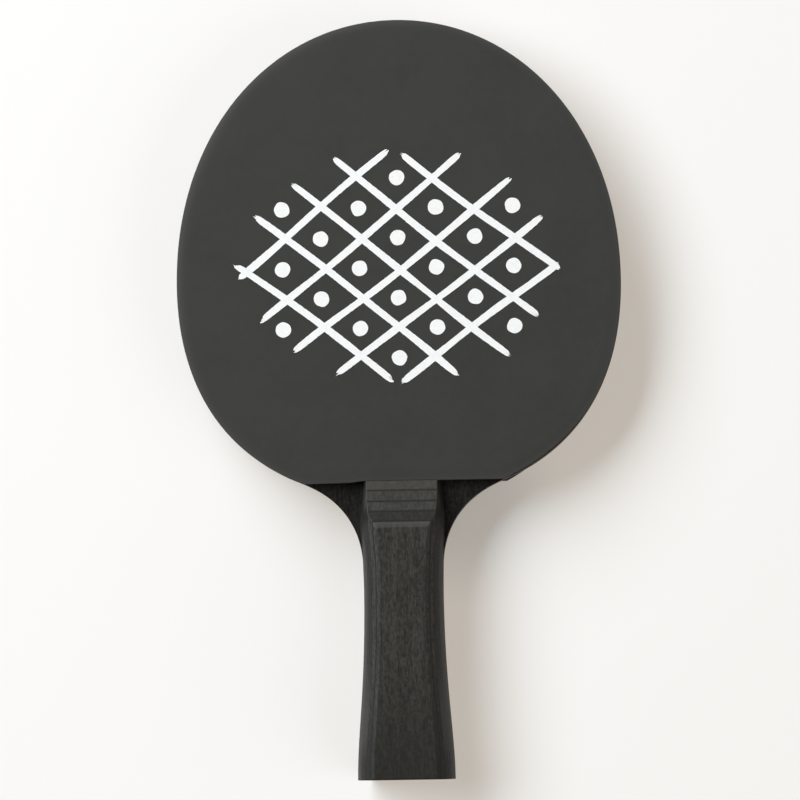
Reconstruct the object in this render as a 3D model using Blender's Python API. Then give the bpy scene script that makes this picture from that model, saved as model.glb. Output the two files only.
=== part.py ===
"""Table tennis bat: a five-ply blade, a sandwich rubber on each face and a laminated flared handle.

The bat lies flat. +Y runs along it from the butt to the tip of the head, and +Z points out of the
front face. The origin is the middle of its length and width, at the back of the handle.
"""

import math
from itertools import accumulate

import bmesh
import bpy
from mathutils import Vector
from mathutils.geometry import interpolate_bezier

# Outline of the head, in metres
HEAD_WIDTH = 0.150
CROWN_LENGTH = 0.0888           # from the widest line up to the tip
CHIN_LENGTH = 0.0675            # from the widest line down to the shoulders
SHOULDER_WIDTH = 0.0675         # where the round head turns into the hollow neck
SHOULDER_SLOPE = math.radians(21.8)
HEAD_LENGTH = 0.156             # from the tip to the front of the handle

# How far each curve's handles reach, as a share of its span
CROWN_TIP_FULLNESS = 0.543
CROWN_SIDE_FULLNESS = 0.601
CHIN_SIDE_FULLNESS = 0.205
CHIN_SHOULDER_REACH = 0.0423
NECK_SHOULDER_REACH = 0.0168
NECK_HANDLE_REACH = 0.0106

# Handle, seen from the front
HANDLE_LENGTH = 0.1004
NOSE_WIDTH = 0.0261             # at the front of the handle
SWELL_WIDTH = 0.0287
SWELL_PLACE = 0.015             # behind the front of the handle
WAIST_WIDTH = 0.0267
WAIST_PLACE = 0.037
BUTT_WIDTH = 0.0327
NECK_END = 0.0292               # where the neck's hollow runs out into the handle
SWELL_PULL = (0.10, 0.53)
WAIST_PULL = (0.22, 0.66)
FLARE_PULL = (0.527, 0.245)

# Handle, seen from its end
SIDE_LEAN = math.radians(14.0)
SIDE_RADIUS = 0.025
BEVEL_WIDTH = 0.0028            # flat on the long edges
BEVEL_HEIGHT = 0.00135
NOSE_LIP = 0.0034               # height of the blunt front that the rubber butts against
NOSE_SLOPE = math.radians(17.9)
BUTT_CHAMFER = 0.0005

# Thicknesses
CORE_PLY = 0.0026
CROSS_PLY = 0.0011
FACE_PLY = 0.0006
SCALE_PLIES = (0.00445, 0.0012, 0.0011, 0.0011, 0.00065)    # the first is glued to the blade
SPONGE = 0.0018
PIMPLE_HEIGHT = 0.0009
RUBBER_SKIN = 0.0008

# Rubber sheets, cut to the blade by hand
FRONT_INSET = 0.00015
BACK_INSET = 0.0003
NOSE_GAP = 0.00005
CUT_NOTCH_RUN = 0.0045          # length of the cut that bends up to the handle's front corner
FRONT_CUT_DROPS = (0.0005, 0.0)     # of the cut below the handle's front, on its left and right
BACK_CUT_DROPS = (0.0, 0.0003)
LEFT_CUT_SLANT = math.radians(0.6)

# The sheets' lower right corners stand out, and above its own the front sheet is cut in deeper
FRONT_CORNER_PROUD = 0.0004
FRONT_CORNER_RUN = 0.0018
BACK_CORNER_PROUD = 0.00095
BACK_CORNER_RUN = 0.0045
FRONT_TRIM = 0.0004
FRONT_TRIM_PLACE = 0.009        # above the handle's front
FRONT_TRIM_RUN = 0.018

# Pimples along the cut rim of a topsheet
PIMPLE_PITCH = 0.0028
PIMPLE_BAND = 0.0021            # depth of the rim that shows them
PIMPLE_SPACE = 0.0007           # bare skin between two of them
PIMPLE_TAPER = 0.00012

# Points along each span of an outline
CROWN_STEPS = 28
CHIN_STEPS = 20
NECK_STEPS = 14
SWELL_STEPS = 6
WAIST_STEPS = 4
FLARE_STEPS = 9
FINE_STEPS = 60

# Places along the length, with the middle of the bat at zero
TIP_Y = (HEAD_LENGTH + HANDLE_LENGTH) / 2
NOSE_Y = TIP_Y - HEAD_LENGTH
WIDEST_Y = TIP_Y - CROWN_LENGTH
SHOULDER_Y = WIDEST_Y - CHIN_LENGTH

# Heights. Pieces that touch take the same number from these lists.
SCALE_HEIGHTS = list(accumulate([0.0, *SCALE_PLIES]))
BEVEL_START = SCALE_HEIGHTS[-1] - BEVEL_HEIGHT
BLADE_LEVELS = list(accumulate([SCALE_HEIGHTS[-1], FACE_PLY, CROSS_PLY, CORE_PLY, CROSS_PLY, FACE_PLY]))
RUBBER_HEIGHTS = list(accumulate([0.0, SPONGE, PIMPLE_HEIGHT, RUBBER_SKIN]))
BLADE_BACK = BLADE_LEVELS[0]
BLADE_FRONT = BLADE_LEVELS[-1]
FRONT = 1
BACK = -1

STAINED_WOOD = ((0.020, 0.019, 0.017), 0.55)
CORE_WOOD = ((0.32, 0.22, 0.13), 0.65)
CROSS_WOOD = ((0.20, 0.13, 0.08), 0.65)
HANDLE_WOOD = ((0.034, 0.032, 0.029), 0.45)
HANDLE_PLY_WOOD = ((0.052, 0.050, 0.046), 0.50)
BLACK_RUBBER = ((0.050, 0.050, 0.048), 0.60)
BLACK_SPONGE = ((0.030, 0.030, 0.030), 0.90)


def clear_scene():
    for old in list(bpy.data.objects):
        bpy.data.objects.remove(old, do_unlink=True)


def make_material(name, colour, roughness):
    material = bpy.data.materials.new(name)
    material.use_nodes = True
    shader = material.node_tree.nodes["Principled BSDF"]
    shader.inputs["Base Color"].default_value = (*colour, 1.0)
    shader.inputs["Roughness"].default_value = roughness
    shader.inputs["Metallic"].default_value = 0.0
    material.diffuse_color = (*colour, 1.0)
    return material


def add_piece(name, bm, finish, bat):
    """Turn a finished bmesh into a named object of the bat."""
    bmesh.ops.recalc_face_normals(bm, faces=bm.faces[:])
    mesh = bpy.data.meshes.new(name)
    bm.to_mesh(mesh)
    bm.free()
    mesh.materials.append(make_material(name, *finish))
    piece = bpy.data.objects.new(name, mesh)
    piece.parent = bat
    bat.users_collection[0].objects.link(piece)
    return piece


def curve_span(start, start_pull, end_pull, end, steps):
    """Points of one Bezier span, from its start up to the point before its end."""
    knots = [Vector((*point, 0.0)) for point in (start, start_pull, end_pull, end)]
    return [Vector((p.x, p.y)) for p in interpolate_bezier(*knots, steps + 1)][:-1]


def handle_side(swell_steps, waist_steps, flare_steps):
    """The handle's side at the blade, as (half width, distance behind the nose) points."""
    def bow(start, end, pulls, steps):
        span = end[1] - start[1]
        return curve_span(start, (start[0], start[1] + pulls[0] * span),
                          (end[0], end[1] - pulls[1] * span), end, steps)

    nose = (NOSE_WIDTH / 2, 0.0)
    swell = (SWELL_WIDTH / 2, SWELL_PLACE)
    waist = (WAIST_WIDTH / 2, WAIST_PLACE)
    butt = (BUTT_WIDTH / 2, HANDLE_LENGTH)
    return (bow(nose, swell, SWELL_PULL, swell_steps) + bow(swell, waist, WAIST_PULL, waist_steps)
            + bow(waist, butt, FLARE_PULL, flare_steps) + [Vector(butt)])


def handle_half_width(distance):
    """Half width of the handle at the blade, read between the points of its side."""
    side = handle_side(SWELL_STEPS, WAIST_STEPS, FLARE_STEPS)
    for near, far in zip(side, side[1:]):
        if near.y <= distance <= far.y:
            return near.x + (far.x - near.x) * (distance - near.y) / (far.y - near.y)
    return side[-1].x


def blade_half(crown_steps, chin_steps, neck_steps):
    """Right half of the blade's outline, from the tip of the head to where the neck ends."""
    tip = (0.0, TIP_Y)
    widest = (HEAD_WIDTH / 2, WIDEST_Y)
    shoulder = Vector((SHOULDER_WIDTH / 2, SHOULDER_Y))
    along = Vector((math.cos(SHOULDER_SLOPE), math.sin(SHOULDER_SLOPE)))
    neck_end = (handle_half_width(NECK_END), NOSE_Y - NECK_END)
    crown = curve_span(tip, (CROWN_TIP_FULLNESS * widest[0], TIP_Y),
                       (widest[0], WIDEST_Y + CROWN_SIDE_FULLNESS * CROWN_LENGTH), widest, crown_steps)
    chin = curve_span(widest, (widest[0], WIDEST_Y - CHIN_SIDE_FULLNESS * CHIN_LENGTH),
                      tuple(shoulder + CHIN_SHOULDER_REACH * along), tuple(shoulder), chin_steps)
    neck = curve_span(tuple(shoulder), tuple(shoulder - NECK_SHOULDER_REACH * along),
                      (neck_end[0], neck_end[1] + NECK_HANDLE_REACH), neck_end, neck_steps)
    return crown + chin + neck + [Vector(neck_end)]


def mirrored(half):
    """Close a right half that runs from the tip downwards. A point on the axis isn't doubled."""
    left = [Vector((-p.x, p.y)) for p in reversed(half) if p.x > 0.0]
    return half + left


def blade_outline():
    """The blade with its tang, whose sides are flush with the handle's."""
    side = handle_side(SWELL_STEPS, WAIST_STEPS, FLARE_STEPS)
    tang = [Vector((p.x, NOSE_Y - p.y)) for p in side if p.y > NECK_END]
    return mirrored(blade_half(CROWN_STEPS, CHIN_STEPS, NECK_STEPS) + tang)


def side_inset(height):
    """How far the handle's side has drawn in at a height above the blade."""
    lean = math.asin(math.sin(SIDE_LEAN) + min(height, BEVEL_START) / SIDE_RADIUS)
    inset = SIDE_RADIUS * (math.cos(SIDE_LEAN) - math.cos(lean))
    return inset + BEVEL_WIDTH * max(0.0, height - BEVEL_START) / BEVEL_HEIGHT


def scale_outline(height):
    """Outline of a handle scale at a height above the blade, from nose to butt and back."""
    front = max(0.0, height - NOSE_LIP) / math.tan(NOSE_SLOPE)
    rear = HANDLE_LENGTH - max(0.0, height - (SCALE_HEIGHTS[-1] - BUTT_CHAMFER))
    inset = side_inset(height)
    right = []
    for station in handle_side(SWELL_STEPS, WAIST_STEPS, FLARE_STEPS):
        place = front + (rear - front) * station.y / HANDLE_LENGTH
        right.append(Vector((handle_half_width(place) - inset, NOSE_Y - place)))
    return mirrored(right)


def loop_at(bm, outline, level):
    """Edges of a closed loop through the outline's points, at one level."""
    verts = [bm.verts.new((p.x, p.y, level)) for p in outline]
    return [bm.edges.new((a, b)) for a, b in zip(verts, verts[1:] + verts[:1])]


def plate(outline, low, high):
    """A flat sheet between two levels."""
    bm = bmesh.new()
    bmesh.ops.contextual_create(bm, geom=loop_at(bm, outline, low))
    raised = bmesh.ops.extrude_face_region(bm, geom=bm.faces[:])
    for vert in (item for item in raised["geom"] if isinstance(item, bmesh.types.BMVert)):
        vert.co.z = high
    return bm


def stacked_loft(outlines, levels):
    """A solid through like outlines, each at its own level."""
    bm = bmesh.new()
    loops = [loop_at(bm, outline, level) for outline, level in zip(outlines, levels)]
    for lower, upper in zip(loops, loops[1:]):
        bmesh.ops.bridge_loops(bm, edges=lower + upper)
    bmesh.ops.contextual_create(bm, geom=loops[0])
    bmesh.ops.contextual_create(bm, geom=loops[-1])
    return bm


def build_blade(bat):
    outline = blade_outline()
    plies = (
        ("blade_face_ply_back", STAINED_WOOD),
        ("blade_cross_ply_back", CROSS_WOOD),
        ("blade_core", CORE_WOOD),
        ("blade_cross_ply_front", CROSS_WOOD),
        ("blade_face_ply_front", STAINED_WOOD),
    )
    for (name, finish), low, high in zip(plies, BLADE_LEVELS, BLADE_LEVELS[1:]):
        add_piece(name, plate(outline, low, high), finish, bat)


def build_scale(side_name, facing, bat):
    """The plies of one handle scale, shaped as one block: each starts as the one below it ends."""
    blade_face = BLADE_FRONT if facing == FRONT else BLADE_BACK
    breaks = (NOSE_LIP / 2, NOSE_LIP, BEVEL_START, SCALE_HEIGHTS[-1] - BUTT_CHAMFER)
    for number, (low, high) in enumerate(zip(SCALE_HEIGHTS, SCALE_HEIGHTS[1:]), start=1):
        heights = [low] + [height for height in breaks if low < height < high] + [high]
        outlines = [scale_outline(height) for height in heights]
        levels = [blade_face + facing * height for height in heights]
        is_face = number == len(SCALE_PLIES)
        name = f"handle_{side_name}_face" if is_face else f"handle_{side_name}_ply_{number}"
        finish = HANDLE_WOOD if is_face else HANDLE_PLY_WOOD
        add_piece(name, stacked_loft(outlines, levels), finish, bat)


def path_lengths(points):
    return [0.0] + list(accumulate((b - a).length for a, b in zip(points, points[1:])))


def spaced(points, pitch):
    """Points at even spacing near the pitch, along an open path and without its last point."""
    lengths = path_lengths(points)
    count = max(2, round(lengths[-1] / pitch))
    result = []
    index = 0
    for step in range(count):
        target = lengths[-1] * step / count
        while lengths[index + 1] < target:
            index += 1
        share = (target - lengths[index]) / (lengths[index + 1] - lengths[index])
        result.append(points[index].lerp(points[index + 1], share))
    return result


def cut_level(x, drops):
    """Where the cut across a sheet lies, beside the handle's front."""
    front = NOSE_Y + NOSE_GAP
    if x > 0.0:
        return front - drops[1]
    return front - drops[0] + (x + NOSE_WIDTH / 2 + CUT_NOTCH_RUN) * math.tan(LEFT_CUT_SLANT)


def head_edge(inset, right_change):
    """Edge of a sheet up the left side, over the tip and down the right side, before the cut."""
    half = blade_half(FINE_STEPS, FINE_STEPS, FINE_STEPS)
    around = [Vector((-p.x, p.y)) for p in reversed(half[1:])] + half
    edge = []
    for before, here, after in zip(around, around[1:], around[2:]):
        along = (after - before).normalized()
        inward = Vector((along.y, -along.x))
        draw_in = inset + (right_change(here.y) if here.x > 0.0 else 0.0)
        edge.append(here + draw_in * inward)
    return edge


def nearness(place, middle, run):
    """1 at the middle, and evenly down to 0 over a run on each side of it."""
    return max(0.0, 1.0 - abs(place - middle) / run)


def front_change(y):
    """Extra depth of the front sheet's edge on its right side."""
    trim = FRONT_TRIM * nearness(y, NOSE_Y + FRONT_TRIM_PLACE, FRONT_TRIM_RUN)
    return trim - FRONT_CORNER_PROUD * nearness(y, cut_level(HEAD_WIDTH, FRONT_CUT_DROPS), FRONT_CORNER_RUN)


def back_change(y):
    """Extra depth of the back sheet's edge on its right side."""
    return -BACK_CORNER_PROUD * nearness(y, cut_level(HEAD_WIDTH, BACK_CUT_DROPS), BACK_CORNER_RUN)


def sheet_outline(edge, drops):
    """A rubber sheet's outline: the head's edge, then the cut, which bends round the handle's front."""
    kept = []
    for near, far in zip(edge, edge[1:]):
        a, b = (point.y - cut_level(point.x, drops) for point in (near, far))
        if a >= 0.0:
            kept.append(near)
        if (a < 0.0) != (b < 0.0):
            kept.append(near.lerp(far, a / (a - b)))
    corner = NOSE_WIDTH / 2
    bends = [Vector((x, cut_level(x, drops))) for x in (corner + CUT_NOTCH_RUN, -corner - CUT_NOTCH_RUN)]
    notch = [Vector((x, NOSE_Y + NOSE_GAP)) for x in (corner, -corner)]
    corners = [kept[-1], bends[0], *notch, bends[1], kept[0]]
    cut = [point for a, b in zip(corners, corners[1:]) for point in spaced([a, b], PIMPLE_PITCH)]
    return spaced(kept, PIMPLE_PITCH) + cut


def pimpled_sheet(outline, face_level, root_level, tip_level):
    """A smooth sheet whose inner side carries pimples around its rim, and stays solid inside it."""
    bm = plate(outline, root_level, face_level)
    bmesh.ops.recalc_face_normals(bm, faces=bm.faces[:])
    inner = min(bm.faces, key=lambda face: abs(face.calc_center_median().z - root_level))
    rim = bmesh.ops.inset_region(bm, faces=[inner], thickness=PIMPLE_BAND, use_even_offset=True)["faces"]
    bmesh.ops.inset_individual(bm, faces=rim, thickness=PIMPLE_SPACE / 2, use_even_offset=True)
    bmesh.ops.inset_individual(bm, faces=rim, thickness=PIMPLE_TAPER, depth=PIMPLE_HEIGHT, use_even_offset=True)
    middle = bmesh.ops.extrude_discrete_faces(bm, faces=[inner])["faces"]
    for vert in {vert for face in rim + middle for vert in face.verts}:
        vert.co.z = tip_level
    return bm


def build_rubber(side_name, facing, bat):
    if facing == FRONT:
        blade_face = BLADE_FRONT
        outline = sheet_outline(head_edge(FRONT_INSET, front_change), FRONT_CUT_DROPS)
    else:
        blade_face = BLADE_BACK
        outline = sheet_outline(head_edge(BACK_INSET, back_change), BACK_CUT_DROPS)
    glue_level, tip_level, root_level, face_level = (blade_face + facing * h for h in RUBBER_HEIGHTS)
    add_piece(f"sponge_{side_name}", plate(outline, glue_level, tip_level), BLACK_SPONGE, bat)
    sheet = pimpled_sheet(outline, face_level, root_level, tip_level)
    add_piece(f"topsheet_{side_name}", sheet, BLACK_RUBBER, bat)


def build_bat():
    clear_scene()
    collection = bpy.data.collections.new("table_tennis_bat")
    bpy.context.scene.collection.children.link(collection)
    bat = bpy.data.objects.new("bat", None)
    collection.objects.link(bat)
    build_blade(bat)
    for side_name, facing in (("front", FRONT), ("back", BACK)):
        build_scale(side_name, facing, bat)
        build_rubber(side_name, facing, bat)


build_bat()
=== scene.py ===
"""Looks of a table tennis bat, laid out as a Blender add-on and run as a script.

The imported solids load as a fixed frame. Each operator reads the outlines of a group of solids, shapes
finer pieces over them and gives those their finish. Another adds the print, and the last one the stage.
Lengths are in metres. +Y runs to the tip of the head, and +Z points out of the front face.
"""

import math

import bmesh
import bpy
from bpy.props import FloatProperty, FloatVectorProperty, IntProperty, PointerProperty
from mathutils import Matrix, Quaternion, Vector, noise
from mathutils.geometry import interpolate_bezier


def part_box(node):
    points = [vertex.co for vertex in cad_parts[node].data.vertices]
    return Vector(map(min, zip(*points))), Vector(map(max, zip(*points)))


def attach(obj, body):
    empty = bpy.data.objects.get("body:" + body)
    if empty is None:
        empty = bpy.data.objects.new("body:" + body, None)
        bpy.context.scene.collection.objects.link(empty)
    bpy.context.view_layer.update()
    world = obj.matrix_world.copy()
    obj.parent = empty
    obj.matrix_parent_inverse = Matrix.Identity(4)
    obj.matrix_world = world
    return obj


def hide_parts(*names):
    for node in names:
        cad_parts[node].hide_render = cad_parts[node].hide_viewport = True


bl_info = {
    "name": "Table Tennis Bat Looks",
    "version": (1, 0, 0),
    "blender": (4, 5, 0),
    "location": "3D View > Sidebar > Bat",
    "description": "Dresses a laminated table tennis bat with wood, rubber, sponge and a print",
    "category": "Object",
}

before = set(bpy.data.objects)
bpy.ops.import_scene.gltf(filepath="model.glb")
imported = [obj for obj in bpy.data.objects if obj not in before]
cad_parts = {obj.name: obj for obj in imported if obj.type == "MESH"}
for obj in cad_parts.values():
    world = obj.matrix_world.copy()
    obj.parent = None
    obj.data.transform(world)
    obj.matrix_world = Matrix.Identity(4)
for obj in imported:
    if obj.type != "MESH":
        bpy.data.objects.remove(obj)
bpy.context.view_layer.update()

# The blade's plies from back to front, each with its slot and colour.
BLADE_PLIES = {
    "blade_face_ply_back": ("black_stained_veneer", "blade_stain"),
    "blade_cross_ply_back": ("blade_cross_wood", "cross_edge"),
    "blade_core": ("blade_core_wood", "core_edge"),
    "blade_cross_ply_front": ("blade_cross_wood", "cross_edge"),
    "blade_face_ply_front": ("black_stained_veneer", "blade_stain"),
}
FACING = {"front": 1, "back": -1}
HANDLE_PLIES = ("ply_1", "ply_2", "ply_3", "ply_4", "face")
# For each ply: how much its nose cut takes on a tone, and that tone as a factor of the stain.
NOSE_TONES = {
    "ply_1": (0.45, 1.95),
    "ply_2": (0.30, 1.50),
    "ply_3": (0.30, 1.45),
    "ply_4": (0.60, 0.35),
    "face": (0.65, 2.30),
}
BLADE_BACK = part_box("blade_face_ply_back")[0].z
BLADE_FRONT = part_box("blade_face_ply_front")[1].z
NOSE_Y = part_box("handle_front_ply_1")[1].y

MERGE = 1e-6  # points of a solid nearer than this are one point
SHARP_CORNER = math.radians(12)  # turns of a solid's outline above this stay corners
CREASE_ANGLE = math.radians(20)  # edges of a shape above this get rounded
SHADE_ANGLE = math.radians(40)  # edges above this are shaded sharp
STRAIGHT_CUT = 0.010  # sides of an outline longer than this are straight cuts

# Sockets of the node that mixes two colours.
MIX_SHARE, MIX_FIRST, MIX_SECOND, MIX_RESULT = 0, 6, 7, 2

# Grains of the stained wood: size across, along and through the bat, detail and roughness.
WOOD_GRAINS = {
    "bands": ((0.0020, 0.040, 0.0030), 2.0, 0.5),
    "streaks": ((0.00055, 0.0045, 0.00055), 2.0, 0.6),
    "mottling": ((0.0009, 0.0014, 0.0009), 2.0, 0.6),
    "pores": ((0.00022, 0.0028, 0.00022), 1.0, 0.5),
    "flecks": ((0.00030, 0.00060, 0.00030), 1.0, 0.5),
}
BLADE_ROUGHNESS = 0.5
HANDLE_ROUGHNESS = 0.48
NECK_END = (0.0015, 0.0035)  # ahead of the nose, where the neck's black stain fades out
CREST_HIGHLIGHT_REACH = 0.0003  # painted highlight: a scale's top is paler from this far behind its crest
CREST_FADE = 0.0004
CORNER_SHADE_REACH = 0.016  # painted shade: the flanks darken from this far behind the nose, where the rubber's edge shades them
CORNER_SHADE_FADE = 0.010
BUTT_DARKENING_START = 0.055  # darker from this far behind the nose, towards the butt
BUTT_DARKENING_FADE = 0.045
GLUE_LINE = (0.00018, 0.00003)  # from the joint, where a glue line comes in

RUBBER_PIECES = 3  # parts that each side of a rubber's outline is cut into
LEVEL_PIECES = 3  # parts between two levels of a scale's curved sides
BEVEL_LEVELS = 3  # a scale's outer levels, with straight sides between them
RIM_STEPS = (0.0, 0.06, 0.16, 0.32, 0.55, 1.0)  # rings of the sunk rim, as shares of its width
SPONGE_STEPS = 6  # parts that the sponge's thickness is cut into
SPONGE_WAVES = 900.0  # waves of the knife's cut to a metre
PIMPLE_SIDES = 12
PIMPLE_FOOT = 1.12  # a pimple's radius at the sheet over that at the sponge
PIMPLE_OUTSIDE = 0.4  # in radii, how far outside the edge a cut pimple's middle may lie
PIMPLE_WHOLE = 1.3  # in radii, how far inside the edge a pimple is whole

STROKE_STEP = 0.0008  # length of a cell in a stroke's grid
STROKE_CELLS = 6  # cells across a stroke
STROKE_JAGS = 0.0016  # how far a stroke's ends are ragged
STROKE_FRAY = 0.00012  # how far its edges are frayed
STROKE_BOW = 0.0011  # how far it is bowed
STROKE_DRIFT = 0.0004  # how far the hand strayed from its line
STROKE_SHIFT = 0.0035  # how far it is set off along its line
STROKE_RISE = 0.4  # the later strokes lie higher by this share of the ink
DOT_SIDES = 36
DOT_WOBBLE = 0.12  # share of its radius that a dot is out of round
DOTTED = 0.90  # share of the oval that holds dots
NET_REACH = 6  # meshes tried to each side of the oval's middle

FLOOR_REACH = 12.0  # from the floor's middle to its sides
FLOOR_GAP = 0.0001  # between the floor and the bat
NOOK = (0.022, -0.036)  # the corner right of the neck, where less light comes
NOOK_FADE = (0.038, 0.008)  # where its shade comes in
BACKDROP_FADE = (0.45, 1.3)  # where the floor turns into the backdrop
LAMP_DISTANCE = 2.6
# Each lamp: azimuth, elevation and turn in degrees, width and height, and colour.
LAMPS = {
    "key": ((140.0, 36.0, 15.0), (3.9, 1.56), (0.95, 0.98, 1.0)),
    "side": ((-30.0, 28.0, 0.0), (2.67, 2.67), (1.0, 0.954, 0.919)),
}

# Settings that like properties share.
LENGTH = {"min": 0.0, "unit": "LENGTH", "precision": 5}
COLOUR = {"size": 3, "min": 0.0, "max": 1.0, "subtype": "COLOR"}


class BatSizes(bpy.types.PropertyGroup):
    """Fine sizes that the solids leave out."""

    spline_pieces: IntProperty(
        name="Spline Pieces", description="Parts that each side of a solid's outline is cut into",
        default=5, min=1, max=12,
    )
    handle_stations: IntProperty(
        name="Handle Stations", description="Parts that the handle's length is cut into",
        default=90, min=10, max=200,
    )
    blade_rounding: FloatProperty(
        name="Blade Rounding", description="Radius of the blade's sanded rim",
        default=0.00035, **LENGTH,
    )
    neck_rounding_end: FloatProperty(
        name="Neck Rounding End", description="How far behind the handle's nose the rounding runs",
        default=0.027, min=0.0, unit="LENGTH", precision=4,
    )
    handle_rounding: FloatProperty(
        name="Handle Rounding", description="Radius of the handle's sanded creases",
        default=0.00045, **LENGTH,
    )
    joint_groove: FloatProperty(
        name="Joint Groove", description="Width of the fine chamfer on a ply's glued rims",
        default=0.00005, **LENGTH,
    )
    rim_width: FloatProperty(
        name="Rubber Rim Width", description="Width of the band where the sheet sinks towards its edge",
        default=0.0040, **LENGTH,
    )
    rim_drop: FloatProperty(
        name="Rubber Rim Drop", description="How far the sheet has sunk at its edge",
        default=0.00040, **LENGTH,
    )
    rubber_rounding: FloatProperty(
        name="Rubber Rounding", description="Radius of the rubber's cut edge",
        default=0.00010, **LENGTH,
    )
    skin_thickness: FloatProperty(
        name="Rubber Skin", description="Thickness of the topsheet without its pimples",
        default=0.0008, **LENGTH,
    )
    pimple_pitch: FloatProperty(
        name="Pimple Pitch", description="Distance between the middles of two pimples",
        default=0.0021, min=0.0005, unit="LENGTH", precision=5,
    )
    pimple_radius: FloatProperty(
        name="Pimple Radius", description="Radius of a pimple at the sponge",
        default=0.00080, min=0.0001, unit="LENGTH", precision=5,
    )
    pimple_band: FloatProperty(
        name="Pimple Band", description="Depth of the rim that shows pimples between the layers",
        default=0.0075, **LENGTH,
    )
    sponge_roughness: FloatProperty(
        name="Sponge Waviness", description="How far the knife's cut wanders on the sponge's edge",
        default=0.00006, **LENGTH,
    )


class BatColours(bpy.types.PropertyGroup):
    """Base colours of the finishes."""

    rubber: FloatVectorProperty(
        name="Rubber", description="Face of the rubber sheets",
        default=(0.0260, 0.0255, 0.0240), **COLOUR,
    )
    sponge: FloatVectorProperty(
        name="Sponge", description="Cut edge of the sponge",
        default=(0.0850, 0.0820, 0.0770), **COLOUR,
    )
    blade_stain: FloatVectorProperty(
        name="Blade Stain", description="Black stained outer veneers of the blade",
        default=(0.0142, 0.0136, 0.0117), **COLOUR,
    )
    core_edge: FloatVectorProperty(
        name="Core Edge", description="Cut edge of the blade's thick middle ply",
        default=(0.240, 0.185, 0.150), **COLOUR,
    )
    cross_edge: FloatVectorProperty(
        name="Cross Edge", description="Cut edges of the two plies beside it",
        default=(0.150, 0.115, 0.090), **COLOUR,
    )
    handle_stain: FloatVectorProperty(
        name="Handle Stain", description="Black stained wood of the handle",
        default=(0.0308, 0.0295, 0.0256), **COLOUR,
    )
    ink: FloatVectorProperty(
        name="Print Ink", description="White ink of the print on the front rubber",
        default=(0.86, 0.86, 0.85), **COLOUR,
    )


class BatPrint(bpy.types.PropertyGroup):
    """Layout of the hand-brushed net on the front rubber."""

    width: FloatProperty(
        name="Print Width", description="Width of the printed oval",
        default=0.108, min=0.01, unit="LENGTH", precision=4,
    )
    height: FloatProperty(
        name="Print Height", description="Height of the printed oval",
        default=0.078, min=0.01, unit="LENGTH", precision=4,
    )
    centre_y: FloatProperty(
        name="Print Centre", description="Place of the oval's middle along the bat",
        default=0.0440, unit="LENGTH", precision=4,
    )
    stroke: FloatProperty(
        name="Stroke Width", description="Width of a brush stroke",
        default=0.0027, min=0.0002, unit="LENGTH", precision=5,
    )
    spacing: FloatProperty(
        name="Stroke Spacing", description="Distance between two strokes side by side",
        default=0.0160, min=0.002, unit="LENGTH", precision=4,
    )
    slope: FloatProperty(
        name="Stroke Slope", description="Angle of the strokes to the bat's width",
        default=math.radians(38), subtype="ANGLE",
    )
    dot: FloatProperty(
        name="Dot Radius", description="Radius of the dot in each mesh of the net",
        default=0.0026, **LENGTH,
    )
    thickness: FloatProperty(
        name="Ink Thickness", description="Thickness of the dried ink",
        default=0.00003, min=0.0, unit="LENGTH", precision=6,
    )


class BatStage(bpy.types.PropertyGroup):
    """Floor, camera and lamps. A lamp's strength is the light it gives a surface that faces it."""

    floor: FloatVectorProperty(
        name="Floor", description="Colour of the floor near the bat",
        default=(0.863, 0.900, 0.942), **COLOUR,
    )
    glow: FloatProperty(
        name="Floor Glow", description="Share of the floor's brightness that no shadow takes away",
        default=0.415, min=0.0, max=1.0, subtype="FACTOR",
    )
    glow_colour: FloatVectorProperty(
        name="Glow Colour", description="Colour of that share",
        default=(0.991, 0.887, 0.760), **COLOUR,
    )
    backdrop: FloatVectorProperty(
        name="Backdrop", description="Colour of all that lies far behind the bat",
        default=(0.940, 0.930, 0.912), **COLOUR,
    )
    view_width: FloatProperty(
        name="View Width", description="Width of the picture at the blade's front face",
        default=0.26976, min=0.01, unit="LENGTH", precision=5,
    )
    distance: FloatProperty(
        name="Distance", description="From the camera to the middle of the bat",
        default=1.8, min=0.1, unit="LENGTH", precision=2,
    )
    aim_x: FloatProperty(
        name="Aim Across", description="Place across the bat that the camera looks at",
        default=-0.00018, unit="LENGTH", precision=5,
    )
    aim_y: FloatProperty(
        name="Aim Along", description="Place along the bat that the camera looks at",
        default=-0.00048, unit="LENGTH", precision=5,
    )
    from_right: FloatProperty(
        name="From the Right", description="How far the camera stands to the bat's right",
        default=math.radians(2.0), subtype="ANGLE",
    )
    from_butt: FloatProperty(
        name="From the Butt", description="How far the camera stands towards the bat's butt",
        default=math.radians(3.3), subtype="ANGLE",
    )
    roll: FloatProperty(
        name="Roll", description="How far the bat lies turned in the picture",
        default=math.radians(0.936), subtype="ANGLE",
    )
    nook: FloatProperty(
        name="Nook Shade", description="Part of the glow that the corner right of the neck goes without",
        default=0.13, min=0.0, max=1.0, subtype="FACTOR",
    )
    key: FloatProperty(name="Key", description="Strength of the upper left lamp", default=2.03, min=0.0)
    side: FloatProperty(name="Side", description="Strength of the lower right lamp", default=0.45, min=0.0)
    fill: FloatProperty(
        name="Fill", description="Strength of the light from all round", default=0.04, min=0.0,
    )


def shade(colour, factor):
    """A colour made darker or lighter."""
    return tuple(min(1.0, channel * factor) for channel in colour)


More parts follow.
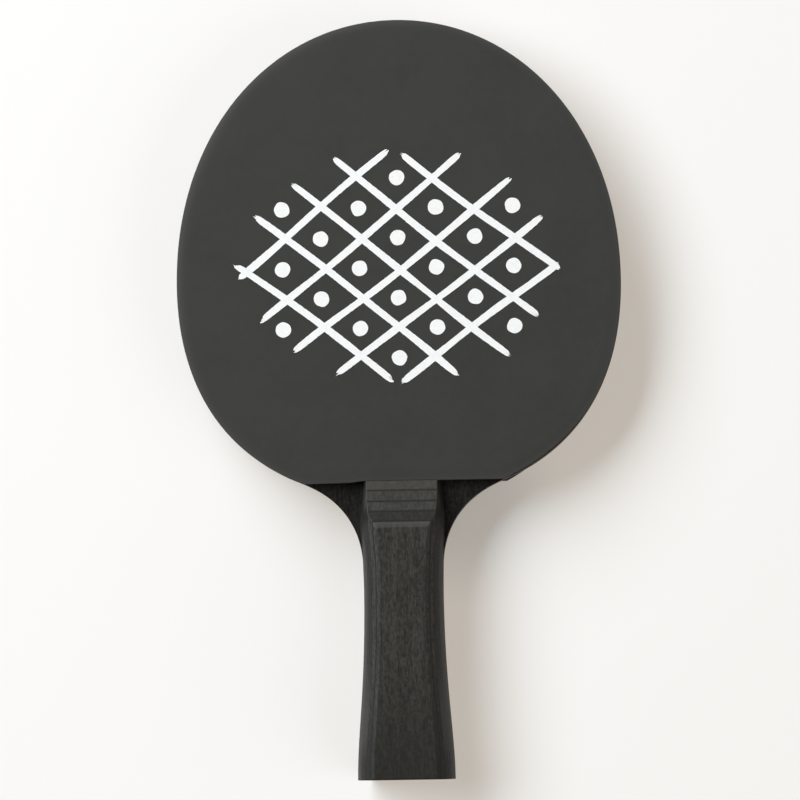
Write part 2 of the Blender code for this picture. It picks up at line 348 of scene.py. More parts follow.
class Socket:
    """An output in a finish's node tree. Arithmetic on it adds Math nodes."""

    def __init__(self, finish, output):
        self.finish = finish
        self.output = output

    def maths(self, operation, *inputs):
        return self.finish.node("ShaderNodeMath", {"operation": operation}, dict(enumerate(inputs)))

    def __add__(self, other):
        return self.maths("ADD", self, other)

    def __sub__(self, other):
        return self.maths("SUBTRACT", self, other)

    def __rsub__(self, other):
        return self.maths("SUBTRACT", other, self)

    def __mul__(self, other):
        return self.maths("MULTIPLY", self, other)

    __radd__ = __add__
    __rmul__ = __mul__

    def ramp(self, low, high):
        """0 below low and 1 above high, with a soft step between them. Low may be the larger."""
        return self.finish.node(
            "ShaderNodeMapRange", {"interpolation_type": "SMOOTHSTEP"},
            {"Value": self, "From Min": low, "From Max": high},
        )

    def highest(self, other):
        return self.maths("MAXIMUM", self, other)

    def size(self):
        return self.maths("ABSOLUTE", self)


class Finish:
    """A node material, and short ways to add nodes to it."""

    def __init__(self, name, material=None):
        self.material = material or bpy.data.materials.new(name)
        self.material.use_nodes = True
        self.tree = self.material.node_tree
        self.shader = self.tree.nodes.get("Principled BSDF")

    def node(self, kind, settings=None, inputs=None, output=0):
        """Add a node: its settings first, then the values or links of its sockets."""
        made = self.tree.nodes.new(kind)
        for name, value in (settings or {}).items():
            setattr(made, name, value)
        self.feed(made, inputs or {})
        return Socket(self, made.outputs[output])

    def feed(self, made, inputs):
        for name, value in inputs.items():
            if isinstance(value, Socket):
                self.tree.links.new(value.output, made.inputs[name])
            else:
                made.inputs[name].default_value = value

    def place(self, size=1.0, shift=(0.0, 0.0, 0.0)):
        """Object coordinates, shifted, and counted in steps of a size, or of one along each axis."""
        spot = self.node("ShaderNodeTexCoord", output="Object")
        sizes = size if isinstance(size, tuple) else (size,) * 3
        scale = tuple(1.0 / length for length in sizes)
        moved = self.node("ShaderNodeMapping", {}, {"Vector": spot, "Location": shift})
        return self.node("ShaderNodeVectorMath", {"operation": "MULTIPLY"}, {0: moved, 1: scale})

    def distance(self, x, y):
        """Distance from a place on the floor, in metres."""
        moved = self.place(shift=(-x, -y, 0.0))
        return self.node("ShaderNodeVectorMath", {"operation": "LENGTH"}, {0: moved}, "Value")

    def parts(self, output):
        """The three parts of an output of the object's coordinates, such as Object or Normal."""
        spot = self.node("ShaderNodeTexCoord", output=output)
        return [self.node("ShaderNodeSeparateXYZ", {}, {"Vector": spot}, axis) for axis in "XYZ"]

    def noise(self, size, shift=(0.0, 0.0, 0.0), detail=2.0, roughness=0.5):
        """Soft noise of about 0 to 1 whose grains have a size, or one along each axis."""
        return self.node("ShaderNodeTexNoise", {}, {
            "Vector": self.place(size, shift), "Scale": 1.0, "Detail": detail, "Roughness": roughness,
        })

    def cells(self, size):
        """Distance from the middle of the nearest cell, in cells of a size."""
        inputs = {"Vector": self.place(size), "Scale": 1.0}
        return self.node("ShaderNodeTexVoronoi", {}, inputs, "Distance")

    def mix(self, share, first, second):
        """From the first colour to the second. Either may be a tuple or a socket."""
        made = self.tree.nodes.new("ShaderNodeMix")
        made.data_type = "RGBA"
        colours = [value if isinstance(value, Socket) else (*value, 1.0) for value in (first, second)]
        self.feed(made, {MIX_SHARE: share, MIX_FIRST: colours[0], MIX_SECOND: colours[1]})
        return Socket(self, made.outputs[MIX_RESULT])

    def layered(self, base, colour, *layers):
        """A base under layers of a colour's shades, each with its share and factor."""
        for share, factor in layers:
            base = self.mix(share, base, shade(colour, factor))
        return base

    def bump(self, height, distance, under=None):
        """A normal for a height of 0 to 1 that stands for a distance, on top of another bump or none."""
        inputs = {"Height": height, "Distance": distance, "Strength": 1.0}
        if under:
            inputs["Normal"] = under
        return self.node("ShaderNodeBump", {}, inputs)

    def surface(self, **inputs):
        """Feed the shader. Names are its sockets', with underscores for spaces."""
        self.feed(self.shader, {name.replace("_", " "): value for name, value in inputs.items()})
        return self.material


def wood_finish(name, colour, seed, roughness, gloss):
    """Stained wood with its grain along the bat: the finish and its base colour."""
    finish = Finish(name)
    shift = (0.013 * seed, 0.11 * seed, 0.007 * seed)
    bands, streaks, mottling, pores, flecks = (
        finish.noise(size, shift, detail, coarseness) for size, detail, coarseness in WOOD_GRAINS.values()
    )
    pores, flecks = pores.ramp(0.60, 0.70), flecks.ramp(0.70, 0.76)
    tone = (bands * 0.5 + streaks + mottling).ramp(0.85, 1.65)
    base = finish.mix(tone, shade(colour, 0.45), shade(colour, 1.60))
    base = finish.layered(base, colour, (pores * 0.60, 0.30), (flecks * 0.35, 3.0))
    finish.surface(
        Base_Color=base, Roughness=roughness + 0.10 * (streaks - 0.5),
        Normal=finish.bump(streaks * 0.6 - pores * 0.8, 0.00004), Specular_IOR_Level=gloss,
    )
    return finish, base


def ply_finish(name, colour, seed):
    """An inner ply of the blade, of which only the cut edge shows."""
    finish, _ = wood_finish(name, colour, seed, BLADE_ROUGHNESS, 0.0)
    return finish.material


def veneer_finish(name, colour, seed):
    """A blade's outer veneer, whose stain is worn off along its rim and beside the rubber."""
    finish, base = wood_finish(name, colour, seed, BLADE_ROUGHNESS, 0.02)
    head = finish.parts("Object")[1].ramp(*(NOSE_Y + reach for reach in NECK_END))
    bare = finish.parts("Normal")[2].size().ramp(0.90, 0.50).highest(head)
    return finish.surface(Base_Color=finish.layered(base, colour, (bare * 0.85, 9.0)))


def scale_finish(name, colour, seed, levels, glued, nose, crest):
    """A scale's ply: wood with a nose cut of its own tone, glue lines at its faces, and darker towards the
    butt. Painted light: highlights on its crest and the nose cut's side edges, and painted shade on its
    flanks, its right bevel and in the corner beside the nose.

    Levels are its two faces, and glued holds those with a glue line. Nose is how much the nose cut takes
    on a tone, and that tone. Crest is where the cut meets the scale's top.
    """
    finish, base = wood_finish(name, colour, seed, HANDLE_ROUGHNESS, 0.10)
    across, along, up = finish.parts("Normal")
    y, z = finish.parts("Object")[1:]
    lean = across.size()
    # painted highlight on the crest where the nose cut meets the top: that strip takes the cut's paler
    # tone
    crest_highlight = up.size().ramp(0.85, 0.95) * (y - (crest - CREST_HIGHLIGHT_REACH)).ramp(0.0, CREST_FADE) * 0.85
    cut = along.ramp(0.12, 0.25).highest(crest_highlight)
    side = lean.ramp(0.60, 0.90)
    # painted shade: the flanks, and the right bevel that faces away from the key lamp, are darkened; less
    # so where the sides stand upright near the blade and catch the floor's light
    shaded = side.highest(across.ramp(0.15, 0.45) * 0.30) * (0.76 - 0.56 * lean.ramp(0.90, 1.0))
    # painted shade in the corner beside the nose, where the rubber's edge shades the flanks
    corner = (y - (NOSE_Y - CORNER_SHADE_REACH)).ramp(0.0, CORNER_SHADE_FADE) * lean.ramp(0.40, 0.70)
    butt_darkening = (NOSE_Y - BUTT_DARKENING_START - y).ramp(0.0, BUTT_DARKENING_FADE)
    low, high = levels
    line = (z - low).ramp(*GLUE_LINE) * float(low in glued)
    line = line.highest((high - z).ramp(*GLUE_LINE) * float(high in glued))
    # painted highlight: the nose cut's side edges are made paler
    arris_highlight = along.ramp(0.03, 0.10) * lean.ramp(0.15, 0.40) * lean.ramp(0.97, 0.85)
    base = finish.layered(
        base, colour, (cut * nose[0], nose[1]), (shaded, 0.15), (corner * 0.95, 0.03),
        (butt_darkening * 0.62, 0.35), (line * 0.85, 0.35), (arris_highlight * 0.60, 2.6),
    )
    return finish.surface(Base_Color=base, Roughness=HANDLE_ROUGHNESS - side * 0.12 + corner * 0.60)


def rubber_finish(colour):
    """Matte sheet rubber: soft clouds, a fine satin grain, dust specks, and paler cut edges, partly their
    own grey and partly a painted highlight. Painted light also makes it lighter towards the upper left.
    """
    finish = Finish("smooth_rubber")
    clouds = finish.noise(0.020)
    smudges = finish.noise(0.0035, (0.3, 0.1, 0.0), 4.0, 0.6)
    grain = finish.noise(0.00018)
    specks = finish.noise(0.00050, (0.7, 0.2, 0.0), 1.0).ramp(0.735, 0.78)
    x, y, z = finish.parts("Object")
    # painted light: the (y - x) term makes the sheet lighter towards the upper left, the side of the key
    # lamp
    tone = (clouds * 0.5 + smudges * 0.5 + (y - x) * 0.8).ramp(0.15, 0.85)
    base = finish.mix(tone, shade(colour, 0.84), shade(colour, 1.16))
    middle, reach = (BLADE_FRONT + BLADE_BACK) / 2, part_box("topsheet_front")[1].z
    sunk = (reach - middle) - (z - middle).size()
    # paler cut edges: partly the cut rubber's own grey, partly a painted highlight along the sunk rim
    worn = sunk.ramp(0.0, 0.00050).highest(finish.parts("Normal")[2].size().ramp(0.95, 0.60))
    base = finish.layered(base, colour, (specks * 0.5, 3.0), (worn * 0.70, 1.85))
    normal = finish.bump(grain, 0.000012, finish.bump(smudges, 0.000020))
    return finish.surface(
        Base_Color=base, Roughness=0.60 + 0.10 * (smudges - 0.5), Normal=normal,
        Specular_IOR_Level=0.20,
    )


def sponge_finish(colour):
    """Foam with fine open cells along its cut edge."""
    finish = Finish("cut_sponge")
    cells = finish.cells(0.00028)
    holes = cells.ramp(0.55, 0.15)
    clouds = finish.noise(0.002)
    base = finish.mix(holes * 0.8, shade(colour, 1.5), shade(colour, 0.4))
    base = finish.layered(base, colour, (clouds * 0.4, 0.8))
    normal = finish.bump(cells, 0.00010)
    return finish.surface(Base_Color=base, Roughness=0.92, Normal=normal, Specular_IOR_Level=0.0)


def ink_finish(colour):
    """White ink, a little thinner and greyer in places."""
    finish = Finish("white_ink")
    clouds = finish.noise(0.0015, detail=3.0)
    pinholes = finish.noise(0.00035, (0.5, 0.0, 0.0), 1.0).ramp(0.70, 0.78)
    base = finish.mix(clouds.ramp(0.3, 0.7), shade(colour, 0.95), colour)
    base = finish.layered(base, colour, (pinholes * 0.5, 0.35))
    normal = finish.bump(clouds, 0.00001)
    return finish.surface(Base_Color=base, Roughness=0.55, Normal=normal, Specular_IOR_Level=0.4)


def outline_at(node, level):
    """A solid's outline at one level of its mesh, clockwise from its top right point."""
    bm = bmesh.new()
    bm.from_mesh(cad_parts[node].data)
    bmesh.ops.remove_doubles(bm, verts=bm.verts[:], dist=MERGE)
    here = {vert for vert in bm.verts if abs(vert.co.z - level) < MERGE}
    rim = {
        edge for edge in bm.edges
        if here.issuperset(edge.verts) and sum(here.issuperset(face.verts) for face in edge.link_faces) < 2
    }
    chain = [max(here, key=lambda vert: (round(vert.co.y, 5), vert.co.x))]
    while True:
        ahead = [edge.other_vert(chain[-1]) for edge in chain[-1].link_edges if edge in rim]
        if len(chain) == 1:
            chain.append(max(ahead, key=lambda vert: vert.co.x))
            continue
        onward = next(vert for vert in ahead if vert is not chain[-2])
        if onward is chain[0]:
            break
        chain.append(onward)
    points = [vert.co.copy() for vert in chain]
    bm.free()
    return points


def right_sides(nodes):
    """For each level of some solids, the points on their right side, from the front end to the rear."""
    sides = {}
    for node in nodes:
        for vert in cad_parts[node].data.vertices:
            x, y, z = (round(value, 6) for value in vert.co)
            if x > 0.0:
                sides.setdefault(z, set()).add((x, y))
    return {
        level: [Vector((x, y, level)) for x, y in sorted(points, key=lambda point: -point[1])]
        for level, points in sides.items()
    }


def half_width_at(path, y):
    """Half width of a side's path at a place along the bat."""
    for front, rear in zip(path, path[1:]):
        if y >= rear.y:
            return rear.x + (front.x - rear.x) * (y - rear.y) / (front.y - rear.y)
    return path[-1].x


def finer(points, pieces, closed=True, longest=math.inf):
    """More points along a path: a smooth curve through its gentle turns, straight at its corners and
    along sides above a longest length."""
    count = len(points)

    def heading(index, chord):
        if not closed and index in (0, count - 1):
            return chord.normalized()
        back = points[index] - points[index - 1]
        ahead = points[(index + 1) % count] - points[index]
        if back.angle(ahead) > SHARP_CORNER or max(back.length, ahead.length) > longest:
            return chord.normalized()
        return (back.normalized() * ahead.length + ahead.normalized() * back.length).normalized()

    result = []
    for index in range(count if closed else count - 1):
        following = (index + 1) % count
        start, end = points[index], points[following]
        chord = end - start
        reach = chord.length / 3
        start_pull = start + heading(index, chord) * reach
        end_pull = end - heading(following, chord) * reach
        result += interpolate_bezier(start, start_pull, end_pull, end, pieces + 1)[:-1]
    return result if closed else result + [points[-1]]


def ring(bm, points):
    """Edges of a closed loop through points."""
    verts = [bm.verts.new(point) for point in points]
    return [bm.edges.new(pair) for pair in zip(verts, verts[1:] + verts[:1])]


def at_level(points, level):
    return [Vector((point.x, point.y, level)) for point in points]


def stack(rows):
    """A closed shape through like loops, one above the other."""
    bm = bmesh.new()
    loops = [ring(bm, row) for row in rows]
    for lower, upper in zip(loops, loops[1:]):
        bmesh.ops.bridge_loops(bm, edges=lower + upper)
    bmesh.ops.contextual_create(bm, geom=loops[0])
    bmesh.ops.contextual_create(bm, geom=loops[-1])
    bmesh.ops.recalc_face_normals(bm, faces=bm.faces[:])
    return bm


def round_edges(bm, edges, radius, segments):
    """Bevel edges by a radius."""
    bmesh.ops.bevel(
        bm, geom=edges, offset=radius, offset_type="OFFSET", segments=segments, profile=0.5,
        affect="EDGES", material=-1, clamp_overlap=True,
    )


def rim_edges(bm, level):
    """Edges between a flat end at a level and the sides that leave it."""
    flat = [
        face for face in bm.faces
        if abs(face.normal.z) > 0.999 and all(abs(vert.co.z - level) < MERGE for vert in face.verts)
    ]
    inside = set(flat)
    return [edge for face in flat for edge in face.edges if not inside.issuperset(edge.link_faces)]


def ply_of(block, low, high, glued, groove):
    """The part of a block between two levels, closed again, with a fine groove at its glued ends."""
    bm = block.copy()
    for level, facing in ((low, -1), (high, 1)):
        bmesh.ops.bisect_plane(
            bm, geom=bm.verts[:] + bm.edges[:] + bm.faces[:], dist=MERGE,
            plane_co=(0, 0, level), plane_no=(0, 0, facing), clear_outer=True,
        )
        opened = [edge for edge in bm.edges if edge.is_boundary]
        if opened:
            bmesh.ops.contextual_create(bm, geom=opened)
    bmesh.ops.recalc_face_normals(bm, faces=bm.faces[:])
    for level in glued:
        round_edges(bm, rim_edges(bm, level), groove, 1)
    return bm


def add_object(name, data):
    """An object in the scene for a mesh, a lamp or a camera."""
    made = bpy.data.objects.new(name, data)
    bpy.context.scene.collection.objects.link(made)
    return made


def add_piece(name, bm, material, slot, *nodes):
    """Turn a finished bmesh into a piece of the bat that stands for its solids."""
    mesh = bpy.data.meshes.new(name)
    bmesh.ops.recalc_face_normals(bm, faces=bm.faces[:])
    bm.to_mesh(mesh)
    bm.free()
    mesh.shade_smooth()
    mesh.set_sharp_from_angle(angle=SHADE_ANGLE)
    mesh.materials.append(material)
    piece = add_object(name, mesh)
    flat = piece.modifiers.new("flat_faces_stay_flat", "WEIGHTED_NORMAL")
    flat.keep_sharp = True
    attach(piece, "root")
    if nodes:
        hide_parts(*nodes)
    return piece


class BAT_OT_dress_blade(bpy.types.Operator):
    """Shape the blade's five plies from one block with a sanded rim, and stain them"""

    bl_idname = "bat.dress_blade"
    bl_label = "Dress Blade"

    def execute(self, context):
        sizes, colours = context.scene.bat_sizes, context.scene.bat_colours
        outline = finer(outline_at("blade_core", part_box("blade_core")[1].z), sizes.spline_pieces)
        block = stack([at_level(outline, level) for level in (BLADE_BACK, BLADE_FRONT)])
        bare_above = NOSE_Y - sizes.neck_rounding_end
        for level in (BLADE_BACK, BLADE_FRONT):
            bare = [e for e in rim_edges(block, level) if all(v.co.y > bare_above for v in e.verts)]
            round_edges(block, bare, sizes.blade_rounding, 3)
        for number, (node, (slot, stain)) in enumerate(BLADE_PLIES.items()):
            low, high = (corner.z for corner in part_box(node))
            glued = [level for level in (low, high) if level not in (BLADE_BACK, BLADE_FRONT)]
            ply = ply_of(block, low, high, glued, sizes.joint_groove)
            dress = veneer_finish if slot == "black_stained_veneer" else ply_finish
            material = dress(f"{node}_wood", getattr(colours, stain), number)
            add_piece(f"{node}_wood", ply, material, slot, node)
        block.free()
        return {"FINISHED"}


class BAT_OT_dress_handle(bpy.types.Operator):
    """Shape each handle scale as one block with curved sides and sanded creases, then part its plies"""

    bl_idname = "bat.dress_handle"
    bl_label = "Dress Handle"

    def scale_rows(self, side, sizes):
        """Loops of one scale from the blade outwards, with more of them where its sides curve."""
        sides = right_sides(f"handle_{side}_{ply}" for ply in HANDLE_PLIES)
        rows = []
        for level in sorted(sides, reverse=side == "back"):
            path = finer(sides[level], sizes.spline_pieces, closed=False)
            front, rear = path[0].y, path[-1].y
            row = []
            for station in range(sizes.handle_stations + 1):
                y = front + (rear - front) * station / sizes.handle_stations
                row.append(Vector((half_width_at(path, y), y, level)))
            rows.append(row + [Vector((-point.x, point.y, point.z)) for point in reversed(row)])
        columns = zip(*rows[:-BEVEL_LEVELS])
        curved = [finer(list(column), LEVEL_PIECES, closed=False) for column in columns]
        return [*zip(*curved), *rows[-BEVEL_LEVELS:]]

    def execute(self, context):
        sizes, colours = context.scene.bat_sizes, context.scene.bat_colours
        for side in FACING:
            rows = self.scale_rows(side, sizes)
            block, crest = stack(rows), rows[-1][0].y
            blade_face = BLADE_FRONT if side == "front" else BLADE_BACK
            creases = [
                edge for edge in block.edges
                if edge.calc_face_angle() > CREASE_ANGLE
                and not all(abs(vert.co.z - blade_face) < MERGE for vert in edge.verts)
                and not all(vert.co.y > NOSE_Y - MERGE for vert in edge.verts)
            ]
            round_edges(block, creases, sizes.handle_rounding, 3)
            for number, ply in enumerate(HANDLE_PLIES):
                node = f"handle_{side}_{ply}"
                low, high = (corner.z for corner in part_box(node))
                outermost = high if side == "front" else low
                glued = [level for level in (low, high) if ply != "face" or level != outermost]
                shape = ply_of(block, low, high, glued, sizes.joint_groove)
                seed = 10 + number + (20 if side == "back" else 0)
                slot = "handle_face_wood" if ply == "face" else "handle_ply_wood"
                material = scale_finish(
                    f"{node}_wood", colours.handle_stain, seed, (low, high), glued, NOSE_TONES[ply], crest,
                )
                add_piece(f"{node}_wood", shape, material, slot, node)
            block.free()
        return {"FINISHED"}


def rubber_skin(outline, face_level, root_level, sizes):
    """The smooth sheet, closed, whose face sinks a little along its rim."""
    facing = math.copysign(1.0, face_level - root_level)
    bm = stack([at_level(outline, root_level), at_level(outline, face_level)])
    face = min(bm.faces, key=lambda item: abs(item.calc_center_median().z - face_level))
    for vert in face.verts:
        vert.co.z -= facing * sizes.rim_drop
    for near, far in zip(RIM_STEPS, RIM_STEPS[1:]):
        width = (far - near) * sizes.rim_width
        bmesh.ops.inset_region(bm, faces=[face], thickness=width, use_even_offset=True)
        for vert in face.verts:
            vert.co.z = face_level - facing * sizes.rim_drop * (1.0 - far) ** 2
    edge_level = face_level - facing * sizes.rim_drop
    edges = [e for e in bm.edges if all(abs(v.co.z - edge_level) < MERGE for v in e.verts)]
    round_edges(bm, edges, sizes.rubber_rounding, 2)
    return bm


def inside_depth(point, outline):
    """How far a point lies inside an outline, and the outline's nearest point. Outside is negative."""
    best, spot, crossings = math.inf, None, 0
    for start, end in zip(outline, outline[1:] + outline[:1]):
        chord = end - start
        share = max(0.0, min(1.0, (point - start).dot(chord) / chord.length_squared))
        near = start + chord * share
        distance = (point - near).length
        if distance < best:
            best, spot = distance, near
        if (start.y > point.y) != (end.y > point.y):
            if point.x < start.x + (point.y - start.y) * chord.x / chord.y:
                crossings += 1
    return (best if crossings % 2 else -best), spot


def add_pimples(bm, outline, root_level, tip_level, sizes):
    """Round pimples in staggered rows near the rim, cut off flush where the knife went through them."""
    flat = [Vector((point.x, point.y)) for point in outline]
    coarse = flat[::RUBBER_PIECES]
    pitch = sizes.pimple_pitch
    row_gap = pitch * math.sin(math.radians(60))
    xs, ys = [p.x for p in flat], [p.y for p in flat]
    depth = tip_level - root_level
    middle = (root_level + tip_level) / 2
    for row in range(math.ceil((max(ys) - min(ys)) / row_gap) + 1):
        y = min(ys) + row * row_gap
        for column in range(math.ceil((max(xs) - min(xs)) / pitch) + 1):
            spot = Vector((min(xs) + (column + 0.5 * (row % 2)) * pitch, y))
            reach, _ = inside_depth(spot, coarse)
            if not -PIMPLE_OUTSIDE * sizes.pimple_radius < reach < sizes.pimple_band:
                continue
            made = bmesh.ops.create_cone(
                bm, cap_ends=True, segments=PIMPLE_SIDES, radius1=sizes.pimple_radius * PIMPLE_FOOT,
                radius2=sizes.pimple_radius, depth=abs(depth),
                matrix=Matrix.Translation((spot.x, spot.y, middle))
                @ Matrix.Rotation(0.0 if depth > 0 else math.pi, 4, "X"),
            )["verts"]
            if reach > PIMPLE_WHOLE * sizes.pimple_radius:
                continue
            for vert in made:
                over, edge_point = inside_depth(vert.co.xy, flat)
                if over < 0.0:
                    vert.co.xy = edge_point


def add_plateau(bm, outline, root_level, tip_level, band):
    """The solid middle of the sheet, which stands for the pimples that nobody sees."""
    loops = [ring(bm, at_level(outline, level)) for level in (root_level, tip_level)]
    bmesh.ops.bridge_loops(bm, edges=loops[0] + loops[1])
    ends = [bmesh.ops.contextual_create(bm, geom=loop)["faces"][0] for loop in loops]
    centre = Vector((0.0, sum(p.y for p in outline) / len(outline)))
    half = max(abs(p.x) for p in outline)
    for vert in {vert for face in ends for vert in face.verts}:
        vert.co.xy = centre + (vert.co.xy - centre) * (1.0 - band / half)


class BAT_OT_dress_rubbers(bpy.types.Operator):
    """Make each topsheet with its sunk rim and round pimples, and the sponge below it"""

    bl_idname = "bat.dress_rubbers"
    bl_label = "Dress Rubbers"

    def sponge(self, side, sizes):
        """The foam sheet, whose edge wanders a little between its two faces."""
        low, high = (corner.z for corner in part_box(f"sponge_{side}"))
        outline = finer(outline_at(f"sponge_{side}", high), RUBBER_PIECES, longest=STRAIGHT_CUT)
        rows = []
        for step in range(SPONGE_STEPS + 1):
            level = low + (high - low) * step / SPONGE_STEPS
            row = at_level(outline, level)
            if 0 < step < SPONGE_STEPS:
                for point in row:
                    wander = noise.noise(point * SPONGE_WAVES) * sizes.sponge_roughness
                    point.xy *= 1.0 - abs(wander) / max(point.xy.length, 0.01)
            rows.append(row)
        return stack(rows)

    def topsheet(self, side, sizes):
        """The rubber sheet, its pimples near the rim, and the plateau behind them."""
        low, high = (corner.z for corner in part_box(f"topsheet_{side}"))
        face_level, tip_level = (high, low) if side == "front" else (low, high)
        root_level = face_level - FACING[side] * sizes.skin_thickness
        outline = finer(outline_at(f"topsheet_{side}", face_level), RUBBER_PIECES, longest=STRAIGHT_CUT)
        bm = rubber_skin(outline, face_level, root_level, sizes)
        add_pimples(bm, outline, root_level, tip_level, sizes)
        add_plateau(bm, outline, root_level, tip_level, sizes.pimple_band)
        return bm

    def execute(self, context):
        sizes, colours = context.scene.bat_sizes, context.scene.bat_colours
        rubber, foam = rubber_finish(colours.rubber), sponge_finish(colours.sponge)
        for side in FACING:
            layer = self.sponge(side, sizes)
            add_piece(f"cut_sponge_{side}", layer, foam, "black_sponge", f"sponge_{side}")
            sheet = self.topsheet(side, sizes)
            add_piece(f"rubber_sheet_{side}", sheet, rubber, "black_rubber", f"topsheet_{side}")
        return {"FINISHED"}


class BAT_OT_add_print(bpy.types.Operator):
    """Brush an oval net of crossing strokes, with a dot in each of its meshes, on the front rubber"""

    bl_idname = "bat.add_print"
    bl_label = "Add Print"

    def stroke(self, bm, start, end, width, level, seed):
        """One brush stroke: a grid bent along a slightly bowed line, with ragged ends."""
        along = (end - start).normalized()
        across = Vector((-along.y, along.x))
        length = (end - start).length
        cells = max(12, round(length / STROKE_STEP))
        made = bmesh.ops.create_grid(bm, x_segments=cells, y_segments=STROKE_CELLS, size=0.5)
        for vert in made["verts"]:
            share, side = vert.co.x + 0.5, 2.0 * vert.co.y
            jag = noise.noise(Vector((side * 2.2, seed * 3.1, 5.0 if share > 0.5 else 0.0)))
            place = share * length + (share - 0.5) * 2.0 * jag * STROKE_JAGS
            swell = 0.86 + 0.20 * noise.noise(Vector((place * 60.0, seed, 0.0)))
            ends = (1.0 - abs(2.0 * share - 1.0) ** 26) ** 0.5
            edge = STROKE_FRAY * noise.noise(Vector((place * 900.0, seed, side * 4.0))) * abs(side)
            bow = STROKE_BOW * math.sin(math.pi * share + seed)
            drift = STROKE_DRIFT * noise.noise(Vector((place * 35.0, seed, 9.0)))
            offset = bow + drift + side * width / 2 * swell * (0.35 + 0.65 * ends) + edge
            vert.co.xy = start + along * place + across * offset
            vert.co.z = level

    def dot(self, bm, centre, radius, level, seed):
        """One dot, a little out of round."""
        made = bmesh.ops.create_circle(bm, cap_ends=True, segments=DOT_SIDES, radius=radius)
        for vert in made["verts"]:
            angle = math.atan2(vert.co.y, vert.co.x)
            wobble = 1.0 + DOT_WOBBLE * noise.noise(Vector((math.cos(angle), math.sin(angle), seed)))
            vert.co.xy = centre + vert.co.xy * wobble
            vert.co.z = level

    def execute(self, context):
        layout, colours = context.scene.bat_print, context.scene.bat_colours
        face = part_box("topsheet_front")[1].z
        centre = Vector((0.0, layout.centre_y))
        radii = Vector((layout.width / 2, layout.height / 2))
        bm = bmesh.new()
        seed = 0
        for family, sign in enumerate((1, -1)):
            along = Vector((math.cos(layout.slope), sign * math.sin(layout.slope)))
            across = Vector((-along.y, along.x))
            reach = math.hypot(radii.x * across.x, radii.y * across.y)
            count = 2 * math.floor(reach / layout.spacing) + 1
            for number in range(count):
                offset = across * layout.spacing * (number - count // 2)
                a = (along.x / radii.x) ** 2 + (along.y / radii.y) ** 2
                b = 2 * (along.x * offset.x / radii.x ** 2 + along.y * offset.y / radii.y ** 2)
                c = (offset.x / radii.x) ** 2 + (offset.y / radii.y) ** 2 - 1.0
                root = math.sqrt(max(0.0, b * b - 4 * a * c))
                first, last = ((-b + turn * root) / (2 * a) for turn in (-1, 1))
                seed += 1
                uneven = STROKE_SHIFT * noise.noise(Vector((seed * 1.7, 0.5, 0.0)))
                start, end = (centre + offset + along * (t + uneven) for t in (first, last))
                level = face + layout.thickness * (1.0 + STROKE_RISE * family)
                self.stroke(bm, start, end, layout.stroke, level, seed)
        cell = layout.spacing / math.sin(2 * layout.slope)
        step_x, step_y = cell * math.cos(layout.slope), cell * math.sin(layout.slope)
        for row in range(-NET_REACH, NET_REACH + 1):
            for column in range(-NET_REACH, NET_REACH + 1):
                if (row + column) % 2 == 0:
                    continue
                spot = Vector((column * step_x, row * step_y))
                if (spot.x / (radii.x * DOTTED)) ** 2 + (spot.y / (radii.y * DOTTED)) ** 2 < 1.0:
                    seed += 1
                    self.dot(bm, centre + spot, layout.dot, face + layout.thickness, seed)
        raised = bmesh.ops.extrude_face_region(bm, geom=bm.faces[:])["geom"]
        for vert in raised:
            if isinstance(vert, bmesh.types.BMVert):
                vert.co.z = face - layout.thickness
        add_piece("front_print", bm, ink_finish(colours.ink), "white_print")
        return {"FINISHED"}


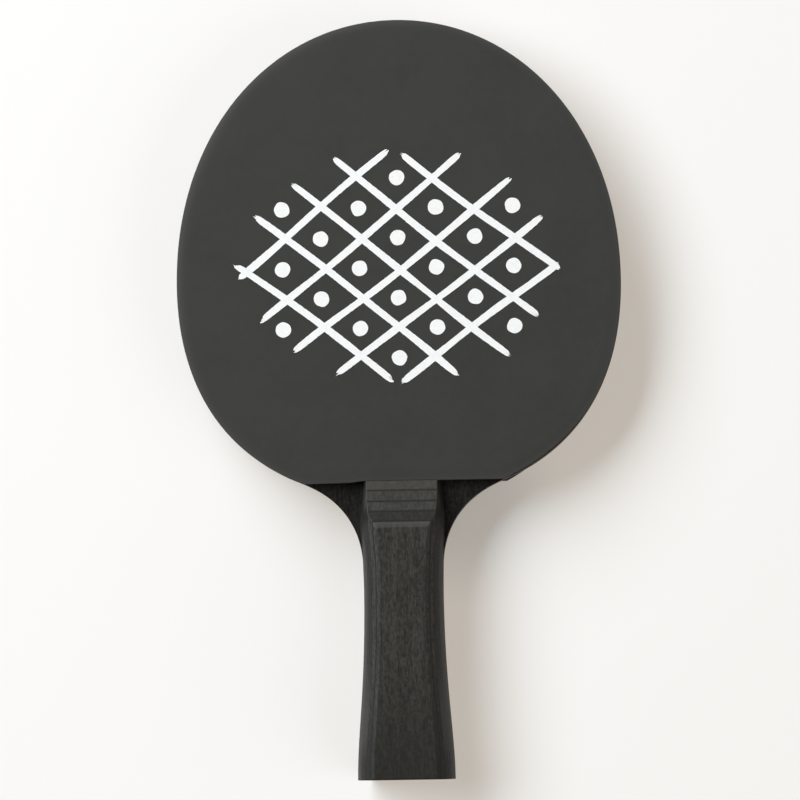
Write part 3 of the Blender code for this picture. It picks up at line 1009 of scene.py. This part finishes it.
class BAT_OT_set_stage(bpy.types.Operator):
    """Lay the floor, hang the lamps and set the camera above the bat"""

    bl_idname = "bat.set_stage"
    bl_label = "Set Stage"

    def floor(self, stage):
        """A floor that takes the bat's shadow, glows a little, and turns into the backdrop far out."""
        bm = bmesh.new()
        bmesh.ops.create_grid(bm, x_segments=1, y_segments=1, size=FLOOR_REACH)
        for vert in bm.verts:
            vert.co.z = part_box("handle_back_face")[0].z - FLOOR_GAP
        mesh = bpy.data.meshes.new("floor")
        bm.to_mesh(mesh)
        bm.free()
        floor = add_object("floor", mesh)
        finish = Finish("pale_floor")
        finish.surface(Base_Color=(*stage.floor, 1.0), Roughness=1.0, Specular_IOR_Level=0.0)
        lit = Socket(finish, finish.shader.outputs["BSDF"])
        seen = self.seen(finish)
        glow, beyond = (
            finish.node("ShaderNodeEmission", {}, {"Color": (*colour, 1.0)})
            for colour in (stage.glow_colour, stage.backdrop)
        )
        glowing = seen * (stage.glow - finish.distance(*NOOK).ramp(*NOOK_FADE) * stage.nook)
        near = finish.node("ShaderNodeMixShader", {}, {0: glowing, 1: lit, 2: glow})
        share = seen * finish.distance(0.0, 0.0).ramp(*BACKDROP_FADE)
        mixed = finish.node("ShaderNodeMixShader", {}, {0: share, 1: near, 2: beyond})
        hollow = finish.node("ShaderNodeBsdfTransparent")
        under = finish.node("ShaderNodeNewGeometry", output="Backfacing")
        whole = finish.node("ShaderNodeMixShader", {}, {0: under, 1: mixed, 2: hollow})
        finish.tree.links.new(whole.output, finish.tree.nodes["Material Output"].inputs["Surface"])
        mesh.materials.append(finish.material)

    def seen(self, finish):
        """1 for rays that show the background itself: to the camera, in gloss and through glass."""
        path = finish.tree.nodes.new("ShaderNodeLightPath")
        kinds = ("Is Camera Ray", "Is Glossy Ray", "Is Transmission Ray")
        camera, glossy, glass = (Socket(finish, path.outputs[kind]) for kind in kinds)
        return camera.highest(glossy).highest(glass)

    def world(self, colour, fill):
        """The backdrop's colour where it is seen, and an even fill light elsewhere."""
        world = bpy.data.worlds.new("studio")
        bpy.context.scene.world = world
        finish = Finish("studio", world)
        back = finish.tree.nodes["Background"]
        finish.feed(back, {"Color": finish.mix(self.seen(finish), (fill,) * 3, colour), "Strength": 1.0})

    def lamp(self, name, angles, size, strength, colour):
        """A soft lamp that faces the bat, at an azimuth from +X towards +Y, an elevation and a turn about
        its own axis. It is an ellipse of a width and a height."""
        azimuth, elevation, turn = (math.radians(angle) for angle in angles)
        level = math.cos(elevation)
        towards = Vector((math.cos(azimuth) * level, math.sin(azimuth) * level, math.sin(elevation)))
        light = bpy.data.lights.new(name, "AREA")
        light.shape = "ELLIPSE"
        light.size, light.size_y = size
        light.color = colour
        light.energy = strength * (math.pi * LAMP_DISTANCE) ** 2
        lamp = add_object(name, light)
        lamp.location = towards * LAMP_DISTANCE
        facing = towards.to_track_quat("Z", "Y") @ Quaternion((0.0, 0.0, 1.0), turn)
        lamp.rotation_euler = facing.to_euler()

    def camera(self, stage):
        """Look down at the middle of the bat, from a little to its right and towards its butt."""
        data = bpy.data.cameras.new("camera")
        data.sensor_width = 36.0
        data.lens = data.sensor_width * stage.distance / stage.view_width
        aim = Vector((stage.aim_x, stage.aim_y, BLADE_FRONT))
        back = Vector((math.tan(stage.from_right), -math.tan(stage.from_butt), 1.0)).normalized()
        across = Vector((math.sin(stage.roll), math.cos(stage.roll), 0.0)).cross(back).normalized()
        axes = Matrix((across, back.cross(across), back)).transposed()
        camera = add_object("camera", data)
        camera.matrix_world = Matrix.Translation(aim + back * stage.distance) @ axes.to_4x4()
        bpy.context.scene.camera = camera

    def execute(self, context):
        stage = context.scene.bat_stage
        self.floor(stage)
        self.world(stage.backdrop, stage.fill)
        for name, (angles, size, colour) in LAMPS.items():
            self.lamp(name, angles, size, getattr(stage, name), colour)
        self.camera(stage)
        context.scene.view_settings.view_transform = "Standard"
        return {"FINISHED"}


class BAT_PT_looks(bpy.types.Panel):
    """Sizes, colours and steps of the bat's looks"""

    bl_label = "Bat Looks"
    bl_idname = "BAT_PT_looks"
    bl_space_type = "VIEW_3D"
    bl_region_type = "UI"
    bl_category = "Bat"

    def draw(self, context):
        layout = self.layout
        for step in STEPS:
            layout.operator(step.bl_idname)
        for group in GROUPS:
            box = layout.box()
            settings = getattr(context.scene, group)
            for name in settings.bl_rna.properties.keys():
                if name not in ("rna_type", "name"):
                    box.prop(settings, name)


STEPS = (BAT_OT_dress_blade, BAT_OT_dress_handle, BAT_OT_dress_rubbers, BAT_OT_add_print, BAT_OT_set_stage)
GROUPS = {"bat_sizes": BatSizes, "bat_colours": BatColours, "bat_print": BatPrint, "bat_stage": BatStage}
CLASSES = (*GROUPS.values(), *STEPS, BAT_PT_looks)


def register():
    for cls in CLASSES:
        bpy.utils.register_class(cls)
    for name, group in GROUPS.items():
        setattr(bpy.types.Scene, name, PointerProperty(type=group))


def unregister():
    for name in GROUPS:
        delattr(bpy.types.Scene, name)
    for cls in reversed(CLASSES):
        bpy.utils.unregister_class(cls)


def main():
    register()
    bpy.ops.bat.dress_blade()
    bpy.ops.bat.dress_handle()
    bpy.ops.bat.dress_rubbers()
    bpy.ops.bat.add_print()
    bpy.ops.bat.set_stage()


if __name__ == "__main__":
    main()
